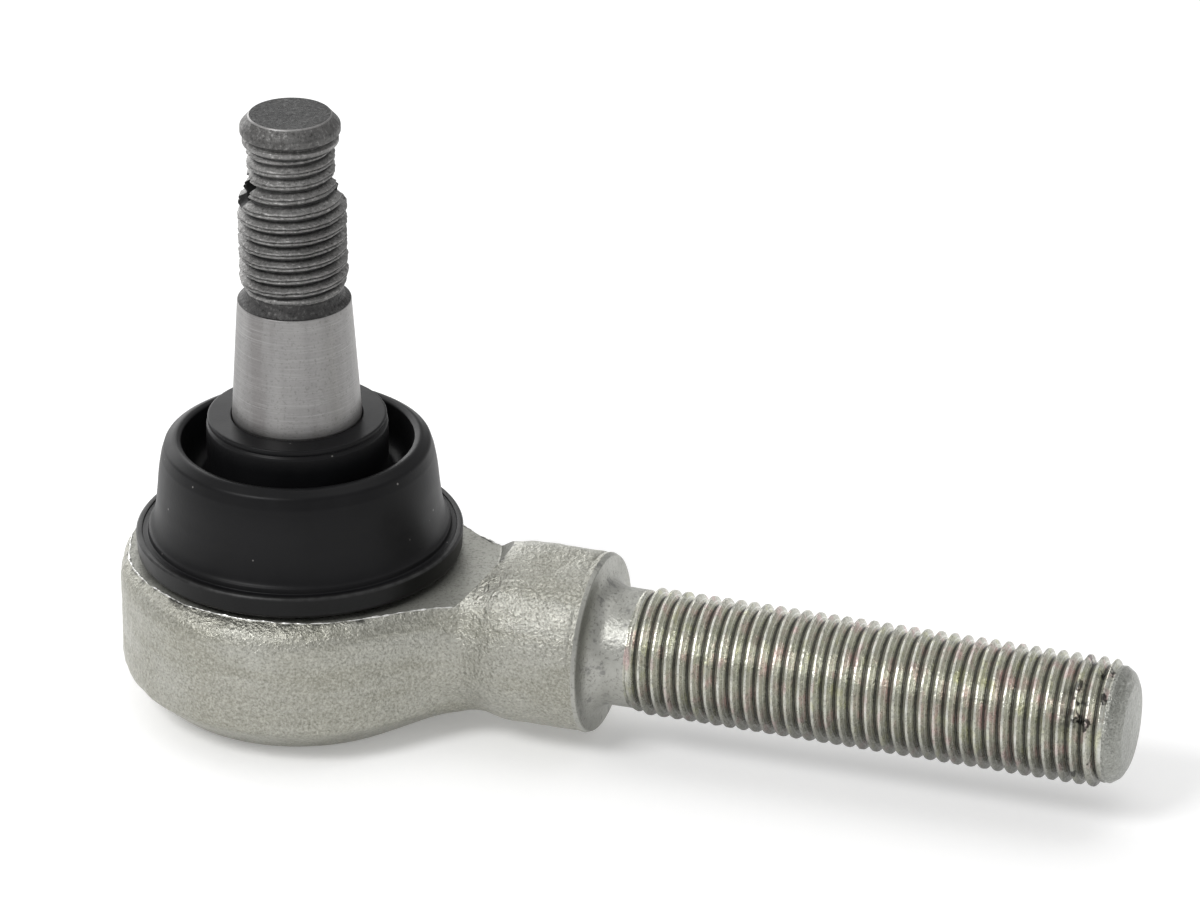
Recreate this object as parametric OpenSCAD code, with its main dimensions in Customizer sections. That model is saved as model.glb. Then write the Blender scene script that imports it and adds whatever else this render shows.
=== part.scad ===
// Outer tie rod end: a threaded forged housing that holds a sealed ball joint.
// Millimetres. The origin is the centre of the ball, +Z runs up the stud and
// +X runs along the threaded shank.

/* [Ball joint] */
// Diameter of the ball
ball_d = 20; // [19:0.5:20]
// Height of the flat under the ball, below its centre
ball_flat = 8.8; // [8:0.1:9.2]
// Diameter of the stud's neck just above the ball
neck_d = 9.5; // [9:0.5:10]
// Running gap between the ball and its seats
ball_gap = 0.03; // [0.01:0.01:0.1]

/* [Tapered stud] */
// Height of the taper's large end above the ball centre
taper_base_z = 21.4; // [21:0.1:22]
// Length of the ground taper
taper_len = 13.7; // [12:0.1:14]
// Diameter of the taper's small end
taper_top_d = 12.44; // [12.3:0.02:12.6]
// Taper ratio on the diameter, one in this many
taper_ratio = 8; // [8:1:10]
// Diameter of the stud where the boot grips it
boot_seat_d = 14; // [13.6:0.1:14]

/* [Stud thread] */
// Crest diameter of the stud's thread
stud_crest_d = 11.84; // [11.7:0.02:11.96]
// Root diameter of the stud's thread
stud_root_d = 10.16; // [10:0.02:10.4]
// Pitch of both threads
pitch = 1.5; // [1.25:0.25:1.5]
// Height of the stud's flat end above the ball centre
stud_top_z = 56.65; // [56:0.05:57]
// Diameter of the rolled cap at the end of the stud
cap_d = 10.84; // [10.4:0.02:11]
// Crest diameter of the reduced thread under the cap
waist_d = 9.4; // [9:0.1:9.8]
// Diameter of the cotter pin's hole
cotter_d = 3.2; // [3:0.1:3.5]
// Height of the cotter pin's hole above the ball centre
cotter_z = 48.5; // [47.5:0.1:49]
// Direction of the cotter pin's hole, from +X towards +Y
cotter_turn = 30; // [0:5:90]

/* [Housing eye] */
// Outside diameter of the eye
eye_d = 39.7; // [39:0.1:41]
// Height of the machined top face above the ball centre
spot_z = 4.6; // [4.2:0.1:4.8]
// Diameter of the sharp edge of that face
spot_d = 35; // [34.6:0.1:35.6]
// Depth of the eye's bottom edge below the ball centre
eye_bottom = 12.2; // [12:0.1:12.6]
// Diameter of the eye's bottom edge
bottom_d = 29.7; // [29:0.1:30]
// Diameter of the boss that carries the boot's ring
boss_d = 28.8; // [28.4:0.1:29]
// Height of the boss above the ball centre
boss_z = 7.6; // [7.4:0.1:7.7]
// Diameter of the opening that the stud leans in
mouth_d = 17.6; // [17.4:0.1:18]
// Diameter of the bore for the seats
bore_d = 23.2; // [23:0.1:23.6]

/* [Housing shank] */
// Depth of the shank's axis below the ball centre
shank_drop = 1.2; // [1:0.1:1.4]
// Diameter of the forged neck where it leaves the eye
neck_root_d = 19.6; // [19:0.1:20]
// Diameter of the forged neck at its shoulder
shoulder_d = 19.9; // [19:0.1:20]
// Distance from the stud to the shoulder's end face
shoulder_x = 35.3; // [34.5:0.1:36]
// Radius of the cutter that faced the eye, about the stud
cutter_r = 21.9; // [21.5:0.1:22.5]
// Crest diameter of the shank's thread
shank_crest_d = 13.9; // [13.8:0.02:13.96]
// Root diameter of the shank's thread
shank_root_d = 12.2; // [12:0.02:12.4]
// Diameter of the plain shank before its thread
blank_d = 13; // [12.8:0.1:13.2]
// Distance from the stud to the first full thread
thread_x = 40.2; // [40:0.1:41]
// Number of threads on the shank
shank_turns = 35; // [30:1:35]
// Distance from the stud to the shank's end
shank_end_x = 94.7; // [94:0.1:95]

/* [Seats and cover] */
// Gap between the two seats at the ball's equator
seat_gap = 0.6; // [0.4:0.1:1]
// Depth of the lower seat's bottom face
seat_bottom = 9.3; // [9.2:0.1:9.4]
// Thickness of the conical spring
spring_t = 0.5; // [0.4:0.1:0.6]
// Thickness of the end cover
cover_t = 1.2; // [1:0.1:1.2]
// Diameter of the end cover
cover_d = 25.5; // [25:0.1:25.6]

/* [Dust boot] */
// Diameter of the boot's collar
collar_d = 19.6; // [19:0.1:20]
// Diameter of the boot's mouth
boot_mouth_d = 25.4; // [25:0.1:25.4]
// Outside diameter of the rolled rim
rim_d = 30; // [29.6:0.1:30.4]
// Height of the rolled rim's top
rim_z = 18.6; // [18:0.1:19]
// Diameter of the bell at its foot
foot_d = 32.4; // [32:0.1:32.6]
// Thickness of the rubber
wall = 1.1; // [1:0.05:1.1]

/* [Boot rings] */
// Outside diameter of the ring that holds the boot's foot
ring_d = 36.2; // [36:0.1:36.4]
// Height of that ring's lower face
ring_z = 5.2; // [5:0.1:5.3]
// Height of that ring's outer wall
ring_h = 2.7; // [2.6:0.1:2.8]
// Thickness of that ring's sheet
ring_t = 0.7; // [0.6:0.1:0.8]
// Wire diameter of the spring ring inside the boot's neck
wire_d = 1.1; // [1:0.1:1.2]

/* [Hidden] */
$fn = 96;
ball_r = ball_d / 2;
taper_top_z = taper_base_z + taper_len;
taper_base_d = taper_top_d + taper_len / taper_ratio;
seat_r = ball_r + ball_gap;
seat_skin = 0.05;
cone_top_z = 6;
cone_base_z = 2.6;
cone_top_r = mouth_d / 2 + 0.4;
spring_rise = 0.4;
cover_top = -(seat_bottom + spring_t + spring_rise);
cover_bottom = cover_top - cover_t;
crimp_r = 11;
dome_r = 8;
dome_drop = 0.7;
flare_x = 12.6;
flare_r = 15.2;
flare_end = 21.5;
steel = [0.66, 0.66, 0.62];
dark_steel = [0.42, 0.42, 0.42];
rubber = [0.12, 0.12, 0.13];
acetal = [0.90, 0.89, 0.84];
spring_steel = [0.35, 0.35, 0.37];
cut = 0.5;

// Points of a round arc, from angle a0 to angle a1.
function arc(cx, cy, r, a0, a1, n) =
    [for (i = [0:n]) let (a = a0 + (a1 - a0) * i / n) [cx + r * cos(a), cy + r * sin(a)]];

// Outline of one thread as a list of rings: each pitch has a flat crest and a flat
// root. Radii come first, then distance along the axis.
function ring_thread(start, turns, crest_r, root_r, p) =
    [for (i = [0:turns - 1])
        let (s = start + i * p)
        each [[root_r, s], [crest_r, s + 0.4 * p], [crest_r, s + 0.6 * p], [root_r, s + p]]];

// The stud's thread narrows towards the cap and fades out towards the taper.
stud_start = 36.6;
stud_full_turns = 6;
full_top = stud_start + pitch * (1 + stud_full_turns);
waist_turns = 3;
waist_start = 48.95;
flare_turns = 2;
function stud_crest_r(i) = waist_d / 2 + (stud_crest_d - waist_d) / 2 * (1 - (i + 1) / (flare_turns + 1));

stud_thread_outline = concat(
    ring_thread(stud_start, 1, stud_crest_d / 2 - 0.25, stud_root_d / 2, pitch),
    ring_thread(stud_start + pitch, stud_full_turns, stud_crest_d / 2, stud_root_d / 2, pitch),
    [for (i = [0:flare_turns - 1])
        each ring_thread(full_top + i * (waist_start - full_top) / flare_turns, 1, stud_crest_r(i),
                         stud_crest_r(i) - 0.7, (waist_start - full_top) / flare_turns)],
    ring_thread(waist_start, waist_turns, waist_d / 2, waist_d / 2 - 0.45, pitch));

module ball_stud() {
    ball_top = sqrt(ball_r * ball_r - neck_d * neck_d / 4);
    flat_a = -asin(ball_flat / ball_r);
    neck_a = atan2(ball_top, neck_d / 2);
    color(dark_steel)
    difference() {
        rotate_extrude()
            polygon(concat(
                [[0, -ball_flat]],
                arc(0, 0, ball_r, flat_a, neck_a, 40),
                [[neck_d / 2, 11.5], [boot_seat_d / 2, 15.6], [boot_seat_d / 2, taper_base_z - 0.1],
                 [taper_base_d / 2, taper_base_z], [taper_top_d / 2, taper_top_z],
                 [stud_crest_d / 2 - 0.2, taper_top_z + 0.15], [stud_root_d / 2, stud_start - 0.3]],
                stud_thread_outline,
                [[4.25, 53.6], [5.15, 54], [cap_d / 2, 54.7], [cap_d / 2, 55.9],
                 [cap_d / 2 - 1, stud_top_z], [0, stud_top_z]]));
        translate([0, 0, cotter_z])
            rotate([0, 0, cotter_turn])
                rotate([0, 90, 0])
                    cylinder(d = cotter_d, h = 20, center = true);
    }
}

// Solid of the eye, before it is faced and bored.
module eye_blank() {
    r = eye_d / 2;
    rotate_extrude()
        polygon(concat(
            [[0, -eye_bottom], [bottom_d / 2, -eye_bottom], [bottom_d / 2 + 3.2, -eye_bottom + 2.3]],
            arc(r - 2.6, -eye_bottom + 4.7, 2.6, -45, 0, 6),
            arc(r - 2.4, spot_z - 2.1, 2.4, 0, 61, 6),
            [[spot_d / 2, spot_z], [0, spot_z]]));
}

// The neck, its shoulder and the threaded shank, turned about the shank's axis.
module neck_and_shank() {
    face_r = 8.9;
    edge_r = 0.9;
    fillet_r = 2.4;
    blank_r = blank_d / 2;
    thread_end = thread_x + shank_turns * pitch;
    translate([0, 0, -shank_drop])
        rotate([90, 0, 90])
            rotate_extrude()
                polygon(concat(
                    [[0, 0], [neck_root_d / 2, 0], [neck_root_d / 2, flare_end]],
                    [[shoulder_d / 2, 30], [shoulder_d / 2, shoulder_x - edge_r]],
                    arc(face_r, shoulder_x - edge_r, edge_r, 0, 90, 6),
                    [[blank_r + fillet_r, shoulder_x]],
                    arc(blank_r + fillet_r, shoulder_x + fillet_r, fillet_r, -90, -180, 8),
                    [[blank_r, thread_x - 0.4]],
                    ring_thread(thread_x, shank_turns, shank_crest_d / 2, shank_root_d / 2, pitch),
                    [[5.9, thread_end + 0.2], [5.2, shank_end_x - 0.3], [4, shank_end_x], [0, shank_end_x]]));
}

// Hollow flare that blends the round neck into the eye, kept level with the eye. Its
// end dips just under the neck's surface.
module neck_flare() {
    rise = flare_r - neck_root_d / 2;
    run = flare_end - flare_x;
    dip = 0.3;
    under = 10.1;
    translate([0, 0, -shank_drop])
        intersection() {
            rotate([90, 0, 90])
                rotate_extrude()
                    polygon(concat(
                        [[0, 0], [flare_r, 0]],
                        [for (i = [0:8])
                            let (t = i / 8)
                            [neck_root_d / 2 + rise * pow(1 - t, 2) - dip * t, flare_x + run * t]],
                        [[0, flare_end]]));
            translate([1, -flare_r - 1, -under])
                cube([flare_end, 2 * flare_r + 2, under + spot_z + shank_drop + 0.7]);
        }
}

module housing() {
    color(steel)
    difference() {
        union() {
            difference() {
                union() {
                    eye_blank();
                    neck_flare();
                    neck_and_shank();
                }
                translate([0, 0, spot_z])
                    cylinder(r = cutter_r, h = 20);
            }
            cylinder(d = boss_d, h = boss_z);
        }
        housing_bore();
    }
}

// The stepped bore: cone over the ball, seat bore, cover seat and crimped lip.
module housing_bore() {
    lean_r = mouth_d / 2 + 1.7;
    rotate_extrude()
        polygon([[0, boss_z + cut], [lean_r + cut, boss_z + cut], [lean_r, boss_z], [mouth_d / 2, cone_top_z],
                 [cone_top_r - 0.4, cone_top_z], [bore_d / 2, cone_base_z], [bore_d / 2, cover_top],
                 [cover_d / 2 + seat_skin, cover_top], [cover_d / 2 + seat_skin, cover_bottom],
                 [crimp_r, cover_bottom], [crimp_r, -eye_bottom - cut], [0, -eye_bottom - cut]]);
}

module upper_ball_seat() {
    top_z = cone_top_z - 0.1;
    color(acetal)
    difference() {
        rotate_extrude()
            polygon([[0, seat_gap / 2], [bore_d / 2 - seat_skin, seat_gap / 2], [bore_d / 2 - seat_skin, cone_base_z - 0.1],
                     [mouth_d / 2, top_z], [0, top_z]]);
        sphere(r = seat_r);
    }
}

module lower_ball_seat() {
    grease_r = 3;
    color(acetal)
    difference() {
        translate([0, 0, -seat_bottom])
            cylinder(r = bore_d / 2 - seat_skin, h = seat_bottom - seat_gap / 2);
        sphere(r = seat_r);
        translate([0, 0, -seat_bottom - cut])
            cylinder(r = grease_r, h = 5);
    }
}

module preload_spring() {
    inner_r = 5;
    outer_r = 10.4;
    color(spring_steel)
        rotate_extrude()
            polygon([[inner_r, -seat_bottom], [outer_r, -seat_bottom - spring_rise],
                     [outer_r, cover_top], [inner_r, cover_top + spring_rise]]);
}

module end_cover() {
    r = cover_d / 2;
    color(steel)
        rotate_extrude()
            polygon([[0, cover_top - dome_drop], [dome_r - 1, cover_top - dome_drop], [dome_r, cover_top], [r, cover_top],
                     [r, cover_bottom], [dome_r + 0.4, cover_bottom], [dome_r - 0.6, cover_bottom - dome_drop],
                     [0, cover_bottom - dome_drop]]);
}

// The pressed ring on the boss: a channel that holds the bead of the boot.
module boot_base_ring() {
    in_r = boss_d / 2;
    out_r = ring_d / 2;
    leg = 2.2;
    color(rubber)
        rotate_extrude()
            polygon([[in_r, ring_z], [out_r - 0.4, ring_z], [out_r, ring_z + 0.4], [out_r, ring_z + ring_h - 0.3],
                     [out_r - 0.3, ring_z + ring_h], [out_r - ring_t, ring_z + ring_h], [out_r - ring_t, ring_z + ring_t],
                     [in_r + ring_t, ring_z + ring_t], [in_r + ring_t, ring_z + leg], [in_r, ring_z + leg]]);
}

// The wire ring in a groove inside the boot's neck: two turns, side by side.
module boot_neck_ring() {
    ring_r = 7.7;
    turn_z = [17.7, 17.7 + wire_d * 0.95];
    color(spring_steel)
        rotate_extrude()
            for (z = turn_z)
                translate([ring_r, z])
                    circle(d = wire_d, $fn = 32);
}

// The rubber boot: bead, bell, rolled rim, deep fold and the neck that grips the stud.
module dust_boot() {
    gap = 0.05;
    bead_in = boss_d / 2 + ring_t + gap;
    bead_out = ring_d / 2 - ring_t - gap;
    bead_z = ring_z + ring_t + gap;
    foot_z = ring_z + ring_h + 0.6;
    grip_r = boot_seat_d / 2 + gap;
    rim_r = (rim_d - boot_mouth_d) / 4;
    rim_c = (rim_d + boot_mouth_d) / 4;
    rim_cz = rim_z - rim_r;
    fold_r = 10.75;
    fold_z = 14.2;
    fold_out = 0.85;
    neck_out = collar_d / 2 + 0.1;
    groove_r = 8.3;
    groove_low = 17.1;
    groove_high = 19.35;
    collar_z = taper_base_z - 0.1;
    lip_z = collar_z - 0.65;
    color(rubber)
        rotate_extrude()
            polygon(concat(
                [[bead_in, bead_z], [bead_out, bead_z], [bead_out, ring_z + ring_h], [foot_d / 2 + 0.3, foot_z - 0.3],
                 [foot_d / 2, foot_z], [foot_d / 2 - 0.7, 12], [rim_d / 2, rim_cz]],
                arc(rim_c, rim_cz, rim_r, 0, 180, 14),
                arc(fold_r, fold_z, fold_out, 0, -180, 8),
                [[neck_out, 17.2], [neck_out, lip_z - 0.4], [neck_out - 0.3, lip_z], [collar_d / 2, lip_z],
                 [collar_d / 2, collar_z], [grip_r, collar_z],
                 [grip_r, groove_high], [groove_r, groove_high], [groove_r, groove_low], [grip_r, groove_low],
                 [grip_r, 16.2], [fold_r - fold_out - wall, fold_z]],
                arc(fold_r, fold_z, fold_out + wall, 180, 360, 10),
                [[rim_c - rim_r + wall, rim_cz]],
                arc(rim_c, rim_cz, rim_r - wall, 180, 0, 4),
                [[foot_d / 2 - 0.7 - wall, 12], [foot_d / 2 - wall, foot_z], [bead_in, 8.2]]));
}

housing();
ball_stud();
upper_ball_seat();
lower_ball_seat();
preload_spring();
end_cover();
dust_boot();
boot_base_ring();
boot_neck_ring();
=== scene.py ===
"""Looks of the tie rod end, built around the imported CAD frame.

Lengths are in millimetres until a mesh is made, where MM turns them into metres.
The origin is the centre of the ball, +Z runs up the stud and +X along the shank.
"""

import math

import bmesh
import bpy
import numpy as np
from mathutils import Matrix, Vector


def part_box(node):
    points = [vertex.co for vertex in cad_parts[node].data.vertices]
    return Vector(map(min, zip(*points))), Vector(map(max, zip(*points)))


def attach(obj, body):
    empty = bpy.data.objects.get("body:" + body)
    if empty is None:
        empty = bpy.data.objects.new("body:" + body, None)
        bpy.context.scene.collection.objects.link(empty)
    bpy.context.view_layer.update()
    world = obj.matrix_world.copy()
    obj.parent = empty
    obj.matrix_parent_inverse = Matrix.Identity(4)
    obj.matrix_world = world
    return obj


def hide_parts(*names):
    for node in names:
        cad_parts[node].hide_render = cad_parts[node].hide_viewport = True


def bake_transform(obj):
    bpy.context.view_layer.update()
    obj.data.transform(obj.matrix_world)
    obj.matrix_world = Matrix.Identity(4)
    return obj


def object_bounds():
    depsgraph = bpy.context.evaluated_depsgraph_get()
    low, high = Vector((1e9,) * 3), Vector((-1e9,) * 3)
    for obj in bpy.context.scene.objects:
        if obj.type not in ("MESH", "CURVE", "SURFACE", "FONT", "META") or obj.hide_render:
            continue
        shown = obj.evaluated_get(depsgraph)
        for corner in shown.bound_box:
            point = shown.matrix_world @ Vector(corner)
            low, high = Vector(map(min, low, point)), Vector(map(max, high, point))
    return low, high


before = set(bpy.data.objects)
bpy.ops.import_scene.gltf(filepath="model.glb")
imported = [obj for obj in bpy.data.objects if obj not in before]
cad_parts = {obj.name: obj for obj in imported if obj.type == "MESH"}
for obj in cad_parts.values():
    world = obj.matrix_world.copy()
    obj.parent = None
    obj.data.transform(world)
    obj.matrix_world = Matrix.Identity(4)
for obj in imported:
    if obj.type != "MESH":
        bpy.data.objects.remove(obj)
cad_low, cad_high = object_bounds()

MM = 0.001
TAU = 2 * math.pi


# ---------------------------------------------------------------- sizes
def node_size(name):
    """Lowest and highest corner of a CAD node, in millimetres."""
    low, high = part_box(name)
    return np.array(low) / MM, np.array(high) / MM


housing_low, housing_high = node_size("housing")
stud_high = node_size("ball_stud")[1]
boot_high = node_size("dust_boot")[1]
ring_low, ring_high = node_size("boot_base_ring")
cover_low, cover_high = node_size("end_cover")

PITCH = 1.5
EYE_R = -housing_low[0]
EYE_BOTTOM = housing_low[2]
FACE_Z = 4.6
FACE_R = 17.5
CUTTER_R = 22.2
CUTTER_LEAN = 0.6
BOSS_R = 14.4
BOSS_Z = 7.6
BORE_R = 11.6
MOUTH_R = 8.8
CRIMP_R = 11
SHANK_Z = -1.2
NECK_R = 9.92
NECK_END = 35.3
BLANK_R = 6.5
SHANK_ROOT_R = 6.05
SHANK_CREST_R = 6.98
SHANK_END = housing_high[0]
BALL_R = stud_high[0]
BALL_FLAT = 8.8
STUD_NECK_R = 4.75
BOOT_SEAT_R = 7.0
STUD_TOP = stud_high[2]
TAPER_TOP = 35.1
STUD_ROOT_R = 5.1
STUD_CREST_R = 5.88
WAIST_ROOT_R = 4.2
WAIST_CREST_R = 4.76
THREAD_START = 36.1
THREAD_END = 53.1
START_R = 5.3
END_R = 4.45
CAP_R = 5.42
PIN_HOLE_Z = 48.5
PIN_HOLE_R = 1.6
PIN_HOLE_TURN = math.radians(30)
COLLAR_Z = boot_high[2]
COLLAR_R = 9.8
NECK_FOLD_R = 9.93
RING_R = ring_high[0]
RING_LOW = ring_low[2]
RING_TOP = 7.65
SPLIT_Z = 12.0
FULL_LEAN_Z = 17.2
MOUTH_Z = 17.6
SPLIT_R = 15.57
RIM_FOOT_Z = 16.7
RIM_FOOT_R = 14.96
WALL = 1.1
FOLD_WALL = 0.8


# ---------------------------------------------------------------- mesh helpers
def add_mesh(name, verts, faces, materials, smooth_angle):
    """Makes an object from millimetre coordinates."""
    mesh = bpy.data.meshes.new(name)
    mesh.from_pydata((np.asarray(verts, float) * MM).tolist(), [], [list(map(int, face)) for face in faces])
    for material in materials:
        mesh.materials.append(material)
    obj = bpy.data.objects.new(name, mesh)
    bpy.context.scene.collection.objects.link(obj)
    tidy_mesh(obj, smooth_angle)
    return obj


def tidy_mesh(obj, smooth_angle):
    """Merges doubled points, turns faces outwards and shades smooth up to an angle."""
    bm = bmesh.new()
    bm.from_mesh(obj.data)
    bmesh.ops.remove_doubles(bm, verts=bm.verts, dist=0.0002 * MM)
    bmesh.ops.dissolve_degenerate(bm, edges=bm.edges, dist=0.0002 * MM)
    bmesh.ops.recalc_face_normals(bm, faces=bm.faces)
    bm.to_mesh(obj.data)
    bm.free()
    obj.data.shade_smooth()
    obj.data.set_sharp_from_angle(angle=math.radians(smooth_angle))


def declare(obj, node, body=None):
    """Hides the CAD node that a piece stands for and, when a body is given, parents the piece to that body's
    empty.
    """
    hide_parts(node)
    if body:
        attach(obj, body)
    return obj


def rounded(corners, steps=6, guard=0.12):
    """Outline through corners (radius, height, fillet). Each fillet becomes an arc, and a
    long straight stretch gets a guard point near each end so that it shades flat."""
    pts = [np.array(corner[:2], float) for corner in corners]
    out = []
    for i, corner in enumerate(corners):
        fillet = corner[2] if len(corner) > 2 else 0
        if fillet == 0:
            out.append(pts[i])
            continue
        back = (pts[i - 1] - pts[i]) / np.linalg.norm(pts[i - 1] - pts[i])
        ahead = (pts[i + 1] - pts[i]) / np.linalg.norm(pts[i + 1] - pts[i])
        half = math.acos(float(np.clip(back @ ahead, -1, 1))) / 2
        trim = fillet / math.tan(half)
        centre = pts[i] + (back + ahead) / np.linalg.norm(back + ahead) * fillet / math.sin(half)
        start = pts[i] + back * trim - centre
        end = pts[i] + ahead * trim - centre
        turn = math.atan2(start[0] * end[1] - start[1] * end[0], start @ end)
        for k in range(steps + 1):
            c, s = math.cos(turn * k / steps), math.sin(turn * k / steps)
            out.append(centre + np.array([c * start[0] - s * start[1], s * start[0] + c * start[1]]))
    dense = [out[0]]
    for p, q in zip(out[:-1], out[1:]):
        run = np.linalg.norm(q - p)
        if run > 4 * guard:
            dense += [p + (q - p) * guard / run, q - (q - p) * guard / run]
        dense.append(q)
    return np.array(dense)


def curve_through(points, per_span=8):
    """A smooth outline through a few points (Catmull-Rom)."""
    p = np.array(points, float)
    p = np.concatenate([[2 * p[0] - p[1]], p, [2 * p[-1] - p[-2]]])
    out = []
    for i in range(1, len(p) - 2):
        a, b, c, d = p[i - 1:i + 3]
        for k in range(per_span):
            t = k / per_span
            out.append(0.5 * (2 * b + (c - a) * t + (2 * a - 5 * b + 4 * c - d) * t * t
                              + (3 * b - a - 3 * c + d) * t ** 3))
    out.append(p[-2])
    return np.array(out)


def offset_outline(line, distance):
    """The outline moved sideways by a distance: the other face of a sheet."""
    tangent = np.gradient(line, axis=0)
    tangent /= np.linalg.norm(tangent, axis=1)[:, None]
    return line + np.stack([tangent[:, 1], -tangent[:, 0]], 1) * distance


def lay_along_x(verts):
    """Points turned about Z are laid along X, on the axis of the shank."""
    verts = np.asarray(verts)
    return np.stack([verts[:, 2], verts[:, 0], verts[:, 1] + SHANK_Z], 1)


def revolve(outline, segments=192, closed=False):
    """Turns an outline of (radius, height) points about Z."""
    ang = np.arange(segments) * TAU / segments
    verts, rows = [], []
    for r, h in np.asarray(outline, float):
        if r < 1e-6:
            rows.append([len(verts)] * segments)
            verts.append((0.0, 0.0, h))
        else:
            rows.append(list(range(len(verts), len(verts) + segments)))
            verts += [(r * math.cos(a), r * math.sin(a), h) for a in ang]
    pairs = list(zip(rows[:-1], rows[1:]))
    if closed:
        pairs.append((rows[-1], rows[0]))
    faces = []
    for low, high in pairs:
        for j in range(segments):
            k = (j + 1) % segments
            loop = [low[j], low[k], high[k], high[j]]
            face = [v for n, v in enumerate(loop) if v not in loop[:n]]
            if len(face) > 2:
                faces.append(face)
    return np.array(verts), faces


def join_parts(*parts):
    """Joins several (points, faces) pairs into one."""
    verts, faces = [], []
    for part_verts, part_faces in parts:
        shift = sum(len(v) for v in verts)
        verts.append(part_verts)
        faces += [[k + shift for k in face] for face in part_faces]
    return np.concatenate(verts), faces


def boolean(obj, cutter, operation):
    """Cuts or joins a helper object, and removes the helper."""
    mod = obj.modifiers.new("cut", "BOOLEAN")
    mod.operation = operation
    mod.solver = "EXACT"
    mod.material_mode = "TRANSFER"
    mod.object = cutter
    with bpy.context.temp_override(object=obj, active_object=obj, selected_objects=[obj]):
        bpy.ops.object.modifier_apply(modifier=mod.name)
    bpy.data.objects.remove(cutter)


def smooth_step(x, a, b):
    """Rises smoothly from 0 at a to 1 at b."""
    t = np.clip((x - a) / (b - a), 0, 1)
    return t * t * (3 - 2 * t)


def wave_noise(p, scale, seed):
    """Smooth repeatable noise: sine waves in fixed random directions."""
    waves = 14
    rng = np.random.default_rng(seed)
    total = np.zeros(len(p))
    for _ in range(waves):
        d = rng.normal(size=3)
        d *= rng.uniform(0.6, 1.4) / (np.linalg.norm(d) * scale)
        total += np.sin(p @ d * TAU + rng.uniform(0, TAU))
    return total / math.sqrt(waves / 2)


def mesh_points(obj):
    """The points of a mesh, in millimetres."""
    co = np.empty(len(obj.data.vertices) * 3)
    obj.data.vertices.foreach_get("co", co)
    return co.reshape(-1, 3) / MM


def store(obj, name, values):
    """Keeps one number per point of the mesh for the material to read."""
    layer = obj.data.attributes.new(name, "FLOAT", "POINT")
    layer.data.foreach_set("value", np.clip(values, 0, 1).astype(np.float32))


# ---------------------------------------------------------------- threads
def soft_floor(value, soft=0.05):
    """The value, with everything below zero taken up to it round a soft corner."""
    return np.where(value > soft, value, np.maximum(value + soft, 0) ** 2 / (4 * soft))


def thread_height(phase, crest_width, seam):
    """Height of a rolled thread over one pitch: 0 in the root, 1 on the crest. The crest is
    a share of the pitch wide, with a shallow seam where the rolled metal met."""
    root_width = 0.10
    seam_width = 0.05
    ramp = (1 - np.abs(2 * phase - 1) - root_width) / (1 - root_width - crest_width)
    height = 1 - soft_floor(1 - soft_floor(ramp))
    return height - seam * np.exp(-((phase - 0.5) / seam_width) ** 2)


def threaded_rod(start, end, root_of, crest_of, before, after,
                 segments, per_pitch, crest_width, seam, wobble):
    """A closed rod about Z with a true right-hand helix between start and end. root_of and
    crest_of give the radii along the axis. before and after are the outlines beyond it."""
    turns = (end - start) / PITCH
    n_rows = int(math.ceil((turns + 1) * per_pitch)) + 1
    ang = np.arange(segments + 1) * TAU / segments
    row = np.arange(n_rows)[:, None] / per_pitch - 1
    s = np.clip(start + PITCH * (row + ang[None, :] / TAU), start, end)
    phase = np.mod((s - start) / PITCH - ang[None, :] / TAU, 1.0)
    height = thread_height(phase, crest_width, seam)
    root, crest = root_of(s), crest_of(s)
    noise_r = np.full_like(s, 6.0)
    around = np.stack([noise_r * np.cos(ang), noise_r * np.sin(ang), s], 2).reshape(-1, 3)
    dents = (wave_noise(around, 1.9, 11) + 0.7 * wave_noise(around, 0.7, 12)).reshape(s.shape)
    inside = smooth_step(s, start, start + 0.5) * (1 - smooth_step(s, end - 0.5, end))
    r = root + (crest - root) * height + wobble * dents * height * inside
    verts = np.stack([r * np.cos(ang), r * np.sin(ang), s], 2).reshape(-1, 3)
    faces = []
    for i in range(n_rows - 1):
        for j in range(segments):
            square = s[i:i + 2, j:j + 2]
            if square.max() - square.min() > 1e-9:
                a = i * (segments + 1) + j
                faces.append([a, a + 1, a + segments + 2, a + segments + 1])
    return join_parts((verts, faces), revolve(before, segments), revolve(after, segments))


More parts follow.
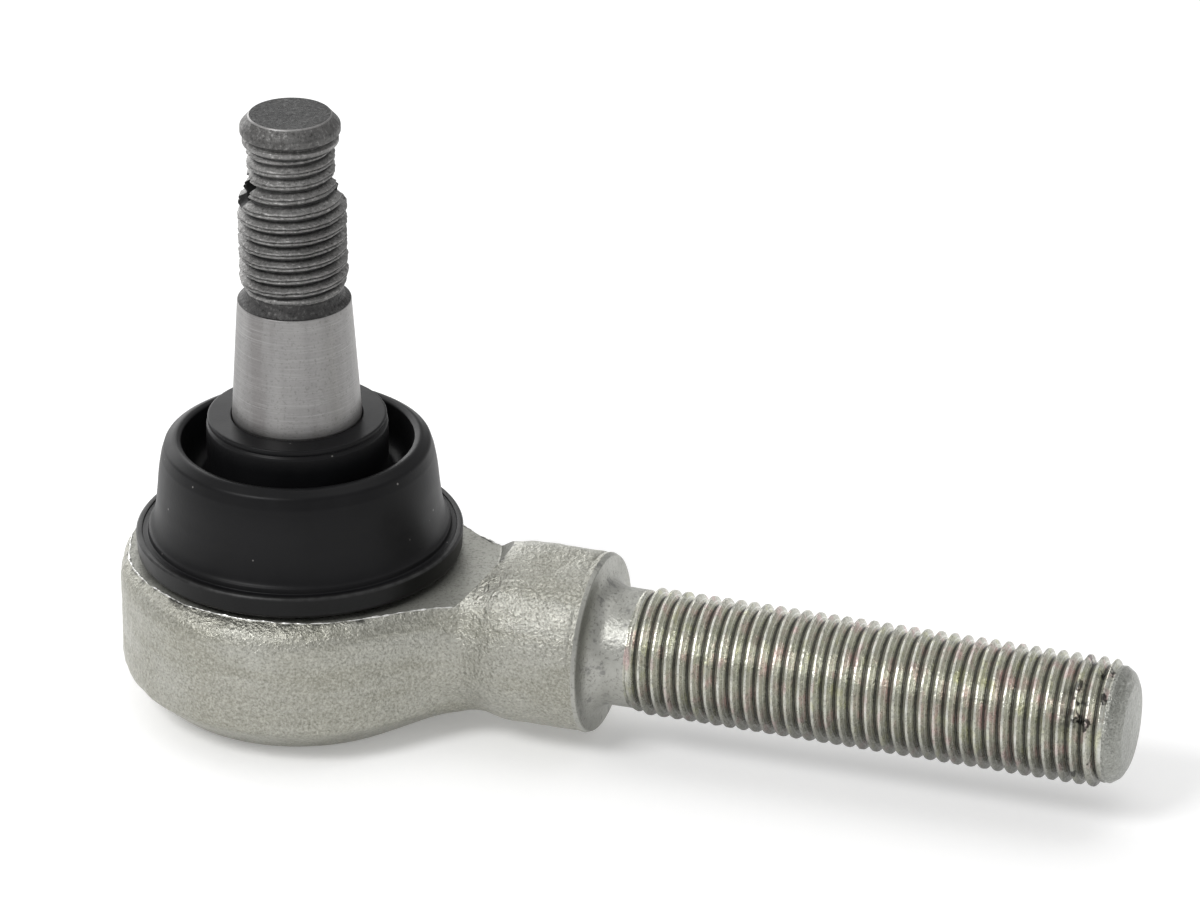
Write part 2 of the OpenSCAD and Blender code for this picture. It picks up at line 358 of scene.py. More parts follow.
# ---------------------------------------------------------------- materials
class Shader:
    """Short way to write a material: each call adds a node and returns its output."""

    def __init__(self, name):
        self.mat = bpy.data.materials.new(name)
        self.mat.use_nodes = True
        self.tree = self.mat.node_tree
        self.bsdf = self.tree.nodes["Principled BSDF"]
        self.place = self.tree.nodes.new("ShaderNodeTexCoord").outputs["Object"]

    def link(self, value, socket):
        if isinstance(value, (int, float)):
            socket.default_value = value
        elif isinstance(value, tuple):
            socket.default_value = (*value, 1.0)
        else:
            self.tree.links.new(value, socket)

    def scaled(self, per_mm, stretch):
        """The place on the part, scaled so that one unit is one feature."""
        mapping = self.tree.nodes.new("ShaderNodeMapping")
        mapping.inputs["Scale"].default_value = [per_mm / MM * k for k in stretch]
        self.tree.links.new(self.place, mapping.inputs["Vector"])
        return mapping.outputs["Vector"]

    def noise(self, per_mm, detail=3, rough=0.55, stretch=(1, 1, 1)):
        """Cloudy noise with this many features per millimetre."""
        node = self.tree.nodes.new("ShaderNodeTexNoise")
        node.inputs["Scale"].default_value = 1.0
        node.inputs["Detail"].default_value = detail
        node.inputs["Roughness"].default_value = rough
        self.tree.links.new(self.scaled(per_mm, stretch), node.inputs["Vector"])
        return node.outputs["Fac"]

    def cells(self, per_mm, stretch=(1, 1, 1)):
        """Distance to the nearest of scattered points, this many per millimetre."""
        node = self.tree.nodes.new("ShaderNodeTexVoronoi")
        node.inputs["Scale"].default_value = 1.0
        self.tree.links.new(self.scaled(per_mm, stretch), node.inputs["Vector"])
        return node.outputs["Distance"]

    def ramp(self, value, *stops):
        """Maps a value to a grey or a colour at each stop."""
        node = self.tree.nodes.new("ShaderNodeValToRGB")
        elements = node.color_ramp.elements
        while len(elements) < len(stops):
            elements.new(0.5)
        for element, (place, colour) in zip(elements, stops):
            element.position = place
            element.color = (*colour, 1.0) if isinstance(colour, tuple) else (colour, colour, colour, 1.0)
        self.link(value, node.inputs["Fac"])
        return node.outputs["Color"]

    def mix(self, share, a, b):
        """Colour a, with a share of colour b."""
        node = self.tree.nodes.new("ShaderNodeMix")
        node.data_type = "RGBA"
        self.link(share, node.inputs[0])
        self.link(a, node.inputs[6])
        self.link(b, node.inputs[7])
        return node.outputs[2]

    def math(self, operation, a, b):
        node = self.tree.nodes.new("ShaderNodeMath")
        node.operation = operation
        self.link(a, node.inputs[0])
        self.link(b, node.inputs[1])
        return node.outputs[0]

    def stored(self, name):
        """A number stored on the mesh."""
        node = self.tree.nodes.new("ShaderNodeAttribute")
        node.attribute_name = name
        return node.outputs["Fac"]

    def bump(self, height, depth_mm, below=None):
        node = self.tree.nodes.new("ShaderNodeBump")
        node.inputs["Distance"].default_value = depth_mm * MM
        self.link(height, node.inputs["Height"])
        if below is not None:
            self.tree.links.new(below, node.inputs["Normal"])
        return node.outputs["Normal"]

    def finish(self, colour, roughness, normal, metallic=0.0, specular=0.5):
        self.link(colour, self.bsdf.inputs["Base Color"])
        self.link(roughness, self.bsdf.inputs["Roughness"])
        self.link(normal, self.bsdf.inputs["Normal"])
        self.link(metallic, self.bsdf.inputs["Metallic"])
        self.link(specular, self.bsdf.inputs["Specular IOR Level"])
        return self.mat


def forged_plate():
    """Zinc plating over a shot-blasted forging: pebbly, slightly green-grey."""
    s = Shader("forged_plate")
    pebbles = s.noise(1.6, 2, 0.6)
    grain = s.noise(3.4, 3, 0.7)
    cloud = s.noise(0.09, 3, 0.6)
    tone = s.ramp(cloud, (0.35, (0.355, 0.35, 0.305)), (0.65, (0.405, 0.403, 0.365)))
    flow = s.noise(0.45, 2, 0.5, (0.12, 0.12, 1))
    tone = s.mix(s.ramp(flow, (0.40, 0.45), (0.54, 0.0)), tone, (0.29, 0.285, 0.235))
    tone = s.mix(s.ramp(grain, (0.50, 0.0), (0.66, 0.5)), tone, (0.62, 0.61, 0.55))
    colour = s.mix(s.ramp(grain, (0.34, 0.65), (0.47, 0.0)), tone, (0.19, 0.19, 0.155))
    # Painted shadow line beneath the burr, in dark patches along the facing cut's edge.
    patches = s.ramp(s.noise(0.6, 3, 0.6), (0.50, 0.0), (0.60, 1.0))
    edge_shadow = s.math("MULTIPLY", s.stored("cut_edge"), patches)
    colour = s.mix(edge_shadow, colour, (0.03, 0.03, 0.027))
    normal = s.bump(grain, 0.11, s.bump(pebbles, 0.22, s.bump(cloud, 0.2)))
    return s.finish(colour, s.ramp(pebbles, (0.3, 0.42), (0.7, 0.28)), normal, 0.92)


def machined_plate(name, low, high):
    """Zinc plating over a faced surface: flatter and more even than the forging."""
    s = Shader(name)
    grain = s.noise(3.2, 3, 0.65)
    tone = s.ramp(s.noise(0.15, 3, 0.6), (0.35, low), (0.65, high))
    colour = s.mix(s.ramp(grain, (0.34, 0.6), (0.48, 0.0)), tone, tuple(0.5 * k for k in low))
    return s.finish(colour, s.ramp(grain, (0.3, 0.6), (0.7, 0.46)), s.bump(grain, 0.05), 0.85)


def turned_plate():
    """Zinc over the turned shoulder and blank: smooth and brighter, with a few dark scuffs."""
    s = Shader("turned_plate")
    grain = s.noise(3.0, 3, 0.6)
    cloud = s.noise(0.3, 3, 0.6)
    tone = s.ramp(cloud, (0.35, (0.38, 0.38, 0.35)), (0.65, (0.45, 0.45, 0.42)))
    colour = s.mix(s.ramp(grain, (0.32, 0.6), (0.46, 0.0)), tone, (0.19, 0.19, 0.17))
    colour = s.mix(s.ramp(s.noise(0.45, 3, 0.65), (0.32, 0.5), (0.40, 0.0)), colour, (0.14, 0.14, 0.14))
    # Painted shade on the shoulder's outer corner.
    colour = s.mix(s.math("MULTIPLY", s.stored("corner_shade"), 0.35), colour, (0.07, 0.07, 0.055))
    dents = s.bump(s.noise(0.9, 3, 0.6), 0.10)
    return s.finish(colour, s.ramp(grain, (0.3, 0.50), (0.7, 0.40)), s.bump(grain, 0.05, dents), 0.9)


def edge_plate():
    """Bare, bright metal on the thin burr beside the facing cut."""
    s = Shader("edge_plate")
    grain = s.noise(1.2, 3, 0.6)
    tone = s.ramp(grain, (0.35, (0.55, 0.55, 0.52)), (0.6, (0.92, 0.92, 0.90)))
    return s.finish(tone, s.ramp(grain, (0.3, 0.40), (0.7, 0.25)), s.bump(grain, 0.02), 0.9)


def thread_plate():
    """Zinc on the rolled shank thread: olive-grey flanks and the faint pink and yellow tints of its
    chromate, with painted highlights on the crests and halfway down each flank, and painted shade in the
    roots and on the underside."""
    s = Shader("thread_plate")
    depth = s.stored("groove")
    grain = s.noise(3.0, 3, 0.65)
    tint = s.noise(0.42, 2, 0.5, (1.8, 1, 1))
    tone = s.ramp(tint, (0.33, (0.65, 0.52, 0.49)), (0.44, (0.57, 0.56, 0.485)), (0.58, (0.56, 0.565, 0.50)),
                  (0.68, (0.60, 0.60, 0.45)))
    tone = s.mix(s.ramp(grain, (0.34, 0.7), (0.48, 0.0)), tone, (0.20, 0.20, 0.17))
    # Painted highlight on the crests.
    tone = s.mix(s.ramp(depth, (0.01, 0.6), (0.06, 0.0)), tone, (0.80, 0.80, 0.76))
    # A painted highlight line halfway down each flank.
    tone = s.mix(s.ramp(depth, (0.46, 0.0), (0.56, 0.85), (0.66, 0.0)), tone, (0.86, 0.86, 0.82))
    # Painted shade in the roots.
    tone = s.mix(s.ramp(depth, (0.84, 0.0), (0.97, 0.92)), tone, (0.035, 0.035, 0.03))
    # Painted shade on the underside of the rod.
    tone = s.mix(s.math("MULTIPLY", s.stored("underside_shade"), 0.85), tone, (0.06, 0.06, 0.05))
    stains = s.ramp(s.noise(0.45, 3, 0.65), (0.56, 0.0), (0.61, 0.9))
    smudge = s.math("MULTIPLY", s.stored("last_threads"), stains)
    colour = s.mix(smudge, tone, (0.025, 0.025, 0.025))
    waves = s.bump(s.noise(0.9, 3, 0.6), 0.10)
    return s.finish(colour, s.ramp(grain, (0.3, 0.38), (0.7, 0.24)), s.bump(grain, 0.06, waves), 0.92)


def end_plate():
    """The sheared end of the shank: zinc over a rough, pitted face."""
    s = Shader("end_plate")
    pits = s.noise(1.3, 3, 0.6)
    grain = s.noise(3.6, 3, 0.6)
    tone = s.ramp(s.noise(0.2, 3, 0.6), (0.35, (0.29, 0.295, 0.27)), (0.65, (0.35, 0.355, 0.325)))
    colour = s.mix(s.ramp(pits, (0.28, 0.9), (0.36, 0.0)), tone, (0.12, 0.12, 0.11))
    colour = s.mix(s.ramp(grain, (0.34, 0.6), (0.48, 0.0)), colour, (0.16, 0.16, 0.145))
    colour = s.mix(s.ramp(grain, (0.54, 0.0), (0.68, 0.5)), colour, (0.55, 0.555, 0.53))
    return s.finish(colour, 0.30, s.bump(grain, 0.12, s.bump(pits, 0.35)), 0.88)


def phosphated(name, low, high, depth_mm):
    """Granular phosphate, with lighter grains where it has rubbed."""
    s = Shader(name)
    grain = s.noise(2.6, 4, 0.7)
    fine = s.noise(6.0, 2, 0.6)
    tone = s.ramp(s.noise(0.3, 3, 0.6), (0.35, low), (0.65, high))
    rubbed = tuple(min(1.0, 2.4 * k) for k in high)
    colour = s.mix(s.ramp(grain, (0.54, 0.0), (0.70, 0.6)), tone, rubbed)
    colour = s.mix(s.ramp(grain, (0.32, 0.8), (0.45, 0.0)), colour, tuple(0.3 * k for k in low))
    # Painted shade in the thread roots and in the groove under the cap.
    colour = s.mix(s.ramp(s.stored("groove"), (0.55, 0.0), (0.95, 0.85)), colour, (0.02, 0.02, 0.02))
    normal = s.bump(fine, 0.02, s.bump(grain, depth_mm))
    return s.finish(colour, s.ramp(grain, (0.3, 0.60), (0.7, 0.42)), normal, 0.8)


def ground_taper():
    """The ground taper: satin grey with rings left by the wheel and soft bands of tone."""
    s = Shader("ground_taper")
    rings = s.noise(0.9, 3, 0.6, (0.15, 0.15, 8))
    fine = s.noise(3.4, 3, 0.65)
    bands = s.noise(0.34, 2, 0.5, (1, 1, 0.05))
    tone = s.ramp(bands, (0.36, (0.225, 0.217, 0.214)), (0.5, (0.275, 0.27, 0.267)),
                  (0.64, (0.31, 0.305, 0.30)))
    tone = s.mix(s.ramp(rings, (0.50, 0.0), (0.72, 0.5)), tone, (0.40, 0.395, 0.39))
    colour = s.mix(s.ramp(fine, (0.32, 0.55), (0.46, 0.0)), tone, (0.17, 0.165, 0.16))
    normal = s.bump(fine, 0.012, s.bump(rings, 0.012))
    return s.finish(colour, s.ramp(rings, (0.3, 0.48), (0.7, 0.38)), normal, 0.88)


def boot_rubber():
    """Satin moulded rubber with a fine skin and a few specks of dust."""
    s = Shader("boot_rubber")
    cloud = s.noise(0.12, 3, 0.6)
    dust = s.math("MULTIPLY", s.ramp(s.cells(0.5), (0.05, 1.0), (0.08, 0.0)),
                  s.ramp(s.noise(0.31, 1, 0.5), (0.55, 0.0), (0.56, 1.0)))
    tone = s.ramp(cloud, (0.3, (0.004, 0.004, 0.0046)), (0.7, (0.007, 0.007, 0.0078)))
    colour = s.mix(s.math("MULTIPLY", dust, 0.55), tone, (0.30, 0.29, 0.28))
    skin = s.bump(s.noise(2.4, 3, 0.6), 0.008)
    return s.finish(colour, s.ramp(cloud, (0.3, 0.36), (0.7, 0.46)), skin, 0.0, 0.17)


def black_coat():
    """Satin black coating on the pressed ring, with a painted highlight along its rolled edge."""
    s = Shader("black_coat")
    cloud = s.noise(0.2, 3, 0.6)
    tone = s.ramp(cloud, (0.3, (0.003, 0.003, 0.0031)), (0.7, (0.006, 0.006, 0.0062)))
    # Painted highlight along the rolled edge, broken up with noise.
    edge_highlight = s.math("MULTIPLY", s.stored("edge"), s.ramp(s.noise(0.9, 3, 0.6), (0.38, 0.5), (0.60, 1.0)))
    colour = s.mix(s.math("MULTIPLY", edge_highlight, 0.22), tone, (0.14, 0.14, 0.14))
    skin = s.bump(s.noise(3.0, 3, 0.6), 0.006)
    return s.finish(colour, s.ramp(cloud, (0.3, 0.32), (0.7, 0.42)), skin, 0.0, 0.18)


def spring_wire():
    """Oil-tempered spring steel."""
    s = Shader("spring_wire")
    grain = s.noise(1.5, 3, 0.6, (1, 1, 3))
    tone = s.ramp(grain, (0.35, (0.14, 0.14, 0.145)), (0.65, (0.24, 0.235, 0.23)))
    return s.finish(tone, s.ramp(grain, (0.3, 0.42), (0.7, 0.34)), s.bump(grain, 0.01), 0.9)


def seat_acetal():
    """Natural moulded acetal with faint flow marks."""
    s = Shader("seat_acetal")
    tone = s.ramp(s.noise(0.25, 3, 0.6), (0.35, (0.74, 0.72, 0.66)), (0.65, (0.80, 0.79, 0.74)))
    skin = s.noise(2.5, 2, 0.5)
    return s.finish(tone, s.ramp(skin, (0.3, 0.42), (0.7, 0.34)), s.bump(skin, 0.01))


def cover_plate():
    """Zinc plated pressed sheet with drawn grain."""
    s = Shader("cover_plate")
    grain = s.noise(1.8, 3, 0.6, (0.4, 3, 1))
    tone = s.ramp(s.noise(0.15, 3, 0.6), (0.35, (0.46, 0.46, 0.43)), (0.65, (0.54, 0.54, 0.50)))
    return s.finish(tone, s.ramp(grain, (0.3, 0.44), (0.7, 0.32)), s.bump(grain, 0.012), 0.9)


def floor_paper():
    """The studio's white paper."""
    s = Shader("floor_paper")
    fibre = s.noise(0.8, 3, 0.6)
    tone = s.ramp(fibre, (0.3, (0.925, 0.925, 0.925)), (0.7, (0.935, 0.935, 0.935)))
    s.link(tone, s.bsdf.inputs["Emission Color"])
    s.bsdf.inputs["Emission Strength"].default_value = 0.22
    return s.finish(tone, 0.9, s.bump(fibre, 0.02), 0.0, 0.1)


FORGED = forged_plate()
MACHINED = machined_plate("machined_plate", (0.33, 0.33, 0.30), (0.39, 0.39, 0.355))
# A darker copy of the machined finish on the cutter's wall: painted shade in the step.
CUT_WALL_SHADE = machined_plate("cut_wall_shade", (0.19, 0.19, 0.17), (0.29, 0.29, 0.265))
TURNED = turned_plate()
BURR = edge_plate()
THREAD = thread_plate()
END_FACE = end_plate()
CAP_SCALE = phosphated("cap_scale", (0.100, 0.098, 0.096), (0.145, 0.143, 0.140), 0.10)
CAP_FACE = phosphated("cap_face", (0.026, 0.026, 0.026), (0.042, 0.042, 0.041), 0.09)
PHOSPHATE = phosphated("phosphated", (0.190, 0.187, 0.183), (0.255, 0.252, 0.247), 0.08)
DARK_SCALE = phosphated("dark_scale", (0.050, 0.049, 0.049), (0.075, 0.074, 0.073), 0.09)
# A near-black copy of the phosphate inside the cotter pin hole: painted shade.
HOLE_SHADE = phosphated("drilled_hole_shade", (0.012, 0.012, 0.012), (0.022, 0.022, 0.022), 0.03)
TAPER = ground_taper()
RUBBER = boot_rubber()
BLACK = black_coat()
WIRE = spring_wire()
ACETAL = seat_acetal()
COVER = cover_plate()


# ---------------------------------------------------------------- housing
def soft_max(a, b, k):
    """The larger of two values, rounded where they cross within k."""
    h = np.clip(0.5 + 0.5 * (a - b) / k, 0, 1)
    return b + (a - b) * h + k * h * (1 - h)


def soft_min(a, b, k):
    """The smaller of two values, rounded where they cross within k."""
    return -soft_max(-a, -b, k)


def forging_distance(p):
    """Rough distance from points to the forging's skin, in millimetres, below zero inside."""
    x, y, z = p.T
    r = np.maximum(np.hypot(x, y), 1e-6)
    eye = soft_max(r - EYE_R, EYE_BOTTOM - z, 1.0)
    eye = soft_max(eye, 0.655 * (r - 17.42) - 0.755 * (z + 10.2), 0.8)
    rim_r = FACE_R + 1.8 * (x / r) ** 2
    eye = soft_max(eye, 0.484 * (r - rim_r) + 0.875 * (z - FACE_Z), 1.6)
    eye = soft_max(eye, z - 7.2, 1.0)
    neck_r = NECK_R - 0.75 * (1 - smooth_step(x, 21.5, 26.5))
    neck = soft_max(np.hypot(y, z - SHANK_Z) - neck_r, x - NECK_END + 0.6, 1.0)
    neck = np.maximum(neck, -x)
    skin = np.maximum(soft_min(eye, neck, 5.0), EYE_BOTTOM - z)
    uneven = smooth_step(z, EYE_BOTTOM + 0.2, EYE_BOTTOM + 2)
    return skin + uneven * (0.035 * wave_noise(p, 7.0, 3) + 0.022 * wave_noise(p, 2.6, 5))


def settle(points, edges, rounds):
    """Pulls points onto the forging's skin, spreading them evenly as they go."""
    step = 0.02
    near = np.zeros(len(points))
    np.add.at(near, edges.ravel(), 1)
    for _ in range(rounds):
        total = np.zeros_like(points)
        np.add.at(total, edges[:, 0], points[edges[:, 1]])
        np.add.at(total, edges[:, 1], points[edges[:, 0]])
        points = 0.5 * (points + total / near[:, None])
        for _ in range(3):
            rises = [forging_distance(points + axis) - forging_distance(points - axis)
                     for axis in np.eye(3) * step]
            slope = np.stack(rises, 1) / (2 * step)
            gap = forging_distance(points) / np.maximum((slope ** 2).sum(1), 0.05)
            points = points - gap[:, None] * slope
    return points


def make_forging():
    """The eye and neck as one blended skin, then the cuts and turned faces that follow it."""
    eye = [(0, EYE_BOTTOM), (15, EYE_BOTTOM), (EYE_R, -7.5), (EYE_R, 2.5), (15, 7.2), (0, 7.2)]
    neck_verts, neck_faces = revolve([(0, 4), (9.6, 4), (NECK_R, NECK_END - 0.6), (0, NECK_END - 0.6)], 64)
    verts, faces = join_parts(revolve(eye, 96), (lay_along_x(neck_verts), neck_faces))
    body = add_mesh("housing_forging", verts, faces, [FORGED], 32)
    remesh = body.modifiers.new("remesh", "REMESH")
    remesh.mode = "VOXEL"
    remesh.voxel_size = 0.40 * MM
    with bpy.context.temp_override(object=body, active_object=body, selected_objects=[body]):
        bpy.ops.object.modifier_apply(modifier=remesh.name)
    edges = np.empty(len(body.data.edges) * 2, int)
    body.data.edges.foreach_get("vertices", edges)
    points = settle(mesh_points(body), edges.reshape(-1, 2), 4)
    body.data.vertices.foreach_set("co", (points * MM).ravel())
    body.data.update()

    cutter_top = 16
    cutter_top_r = CUTTER_R + CUTTER_LEAN * (cutter_top - FACE_Z)
    facing = rounded([(0, FACE_Z), (CUTTER_R, FACE_Z, 0.3), (cutter_top_r, cutter_top), (0, cutter_top)], 4)
    cutter = add_mesh("facing", *revolve(facing, 256), [MACHINED, CUT_WALL_SHADE], 32)
    # The cutter's wall gets the darker copy, painted shade.
    for face in cutter.data.polygons:
        face.material_index = face.center[2] > (FACE_Z + 0.05) * MM and abs(face.normal[2]) < 0.95
    boolean(body, cutter, "DIFFERENCE")
    boss = rounded([(0, 2), (BOSS_R, 2), (BOSS_R, BOSS_Z, 0.5), (0, BOSS_Z)], 4)
    boolean(body, add_mesh("boss", *revolve(boss, 256), [MACHINED], 32), "UNION")
    bore = rounded([(0, 9), (11.2, 9), (10.5, BOSS_Z), (MOUTH_R, 6, 0.3), (MOUTH_R, 5.8),
                    (BORE_R, 2.6), (BORE_R, -10.2), (12.8, -10.2), (12.8, -11.4),
                    (CRIMP_R, -11.4, 0.25), (CRIMP_R, -13), (0, -13)], 4)
    boolean(body, add_mesh("bore", *revolve(bore, 192), [MACHINED], 32), "DIFFERENCE")
    shoulder = rounded([(0, 32.4), (8.6, 32.4), (9.80, 33.9, 0.3), (9.97, 34.75, 0.3),
                        (9.72, NECK_END, 0.22), (9.0, NECK_END + 0.02), (6.55, NECK_END + 0.12, 1.9),
                        (BLANK_R, 39.6), (5.5, 39.6), (0, 39.6)], 8)
    turned_verts, turned_faces = revolve(shoulder, 192)
    boolean(body, add_mesh("shoulder", lay_along_x(turned_verts), turned_faces, [TURNED], 32), "UNION")
    tidy_mesh(body, 30)
    paint_forging(body)
    return declare(body, "housing", "housing")


def paint_forging(body):
    """Marks where painted shadow goes beside the facing cut and painted shade on the shoulder's outer
    corner, and keeps the turned finish to the shoulder.
    """
    points = mesh_points(body)
    radius = np.hypot(points[:, 0], points[:, 1])
    below = np.where(radius < CUTTER_R + 0.1, FACE_Z - points[:, 2], 9)
    beside = radius - CUTTER_R - CUTTER_LEAN * (points[:, 2] - FACE_Z)
    beside = np.where(points[:, 2] > FACE_Z - 0.1, np.abs(beside), 9)
    # cut_edge: where the painted shadow line beneath the burr goes.
    store(body, "cut_edge", 1 - np.minimum(np.abs(below), beside) / 0.45)
    # corner_shade: painted shade on the shoulder's outer corner, strongest towards -Y.
    rho = np.hypot(points[:, 1], points[:, 2] - SHANK_Z)
    side = smooth_step(-points[:, 1] / np.maximum(rho, 0.1), -0.1, 0.8) * smooth_step(rho, 7.6, 8.9)
    store(body, "corner_shade", side * (points[:, 0] > NECK_END - 0.12))
    forged = body.data.materials.find("forged_plate")
    for face in body.data.polygons:
        if 32 < face.center[0] / MM < NECK_END - 0.5:
            face.material_index = forged


def burr_path(body):
    """The line where the facing cut meets the forged skin, as evenly spaced points."""
    bm = bmesh.new()
    bm.from_mesh(body.data)
    near = {}
    for edge in bm.edges:
        kinds = {face.material_index for face in edge.link_faces}
        mid = (edge.verts[0].co + edge.verts[1].co) / 2 / MM
        if len(kinds) == 2 and abs(mid.z - FACE_Z) < 0.02 and math.hypot(mid.x, mid.y) > BOSS_R + 1:
            first, second = edge.verts
            near.setdefault(first.index, []).append(second.index)
            near.setdefault(second.index, []).append(first.index)
    place = {v.index: np.array(v.co) / MM for v in bm.verts if v.index in near}
    bm.free()
    chains, used = [], set()
    for first in [k for k in near if len(near[k]) == 1] + list(near):
        chain, here = [], first
        while here is not None and here not in used:
            used.add(here)
            chain.append(place[here])
            here = next((k for k in near[here] if k not in used), None)
        chains.append(chain)
    path = np.array(max(chains, key=len))
    run = np.concatenate([[0], np.cumsum(np.linalg.norm(np.diff(path, axis=0), axis=1))])
    even = np.arange(0, run[-1], 0.15)
    return np.stack([np.interp(even, run, path[:, k]) for k in range(3)], 1)


def make_edge_burr(body):
    """The fine bright burr that the facing cut leaves along the outer edge of the eye."""
    path = burr_path(body)
    tangent = np.gradient(path, axis=0)
    tangent /= np.linalg.norm(tangent, axis=1)[:, None]
    out = np.cross(tangent, [0, 0, 1.0])
    out *= np.sign((out * path).sum(1))[:, None]
    size = np.clip(0.065 + 0.04 * wave_noise(path, 1.6, 8) + 0.03 * wave_noise(path, 0.45, 9), 0.015, 0.17)
    size[[0, -1]] = 0.01
    around = 6
    verts = []
    for centre, side, width in zip(path, out, size):
        for k in range(around):
            a = TAU * k / around
            verts.append(centre + side * width * math.cos(a) + np.array([0, 0, width * math.sin(a)]))
    return declare(add_mesh("housing_edge_burr", verts, tube_faces(len(path), around), [BURR], 60),
                   "housing", "housing")


def tube_faces(rings, around):
    """Faces of a tube of point rings, closed at both ends."""
    faces = []
    for i in range(rings - 1):
        for k in range(around):
            a, b = i * around + k, i * around + (k + 1) % around
            faces.append([a, b, b + around, a + around])
    last = (rings - 1) * around
    return faces + [list(range(around)), list(range(last, last + around))]


def make_shank_thread():
    """The threaded rod of the housing, with its run-out, its chamfer and its rough end."""
    start, end = 38.51, SHANK_END - 2.0

    def root_of(s):
        return (BLANK_R + (SHANK_ROOT_R - BLANK_R) * smooth_step(s, 39.5, 40.8)
                + (6.3 - SHANK_ROOT_R) * smooth_step(s, end - 0.9, end))

    def crest_of(s):
        return (BLANK_R + (SHANK_CREST_R - BLANK_R) * smooth_step(s, 39.4, 41.2)
                - (SHANK_CREST_R - 6.3) * smooth_step(s, end - 0.9, end))

    before = rounded([(0, 37.0), (6.2, 37.0), (6.4, 38.0), (BLANK_R, start)], 3)
    after = rounded([(6.3, end), (6.34, end + 0.35, 0.25), (5.75, SHANK_END - 0.75, 0.8),
                     (4.7, SHANK_END - 0.2, 1.5), (0, SHANK_END)], 6)
    verts, faces = threaded_rod(start, end, root_of, crest_of, before, after, 144, 26, 0.13, 0.06, 0.012)
    skins = [THREAD, END_FACE, TURNED]
    rod = add_mesh("housing_shank_thread", lay_along_x(verts), faces, skins, 50)
    points = mesh_points(rod)
    rho = np.hypot(points[:, 1], points[:, 2] - SHANK_Z)
    depth = (crest_of(points[:, 0]) - rho) / np.maximum(crest_of(points[:, 0]) - root_of(points[:, 0]), 0.05)
    # Depth in the thread, which places the painted crest highlights and root shade.
    store(rod, "groove", np.where((points[:, 0] > 39.9) & (points[:, 0] < end), depth, 0.4))
    store(rod, "last_threads", smooth_step(points[:, 0], 87.5, 90.0))
    # How far a point faces down, for the painted shade on the underside.
    store(rod, "underside_shade", smooth_step((SHANK_Z - points[:, 2]) / np.maximum(rho, 0.1), -0.3, 1.0))
    for face in rod.data.polygons:
        x = face.center[0] / MM
        if x > end - 0.05:
            face.material_index = skins.index(END_FACE)
        elif x < 39.6:
            face.material_index = skins.index(TURNED)
    return declare(rod, "housing", "housing")


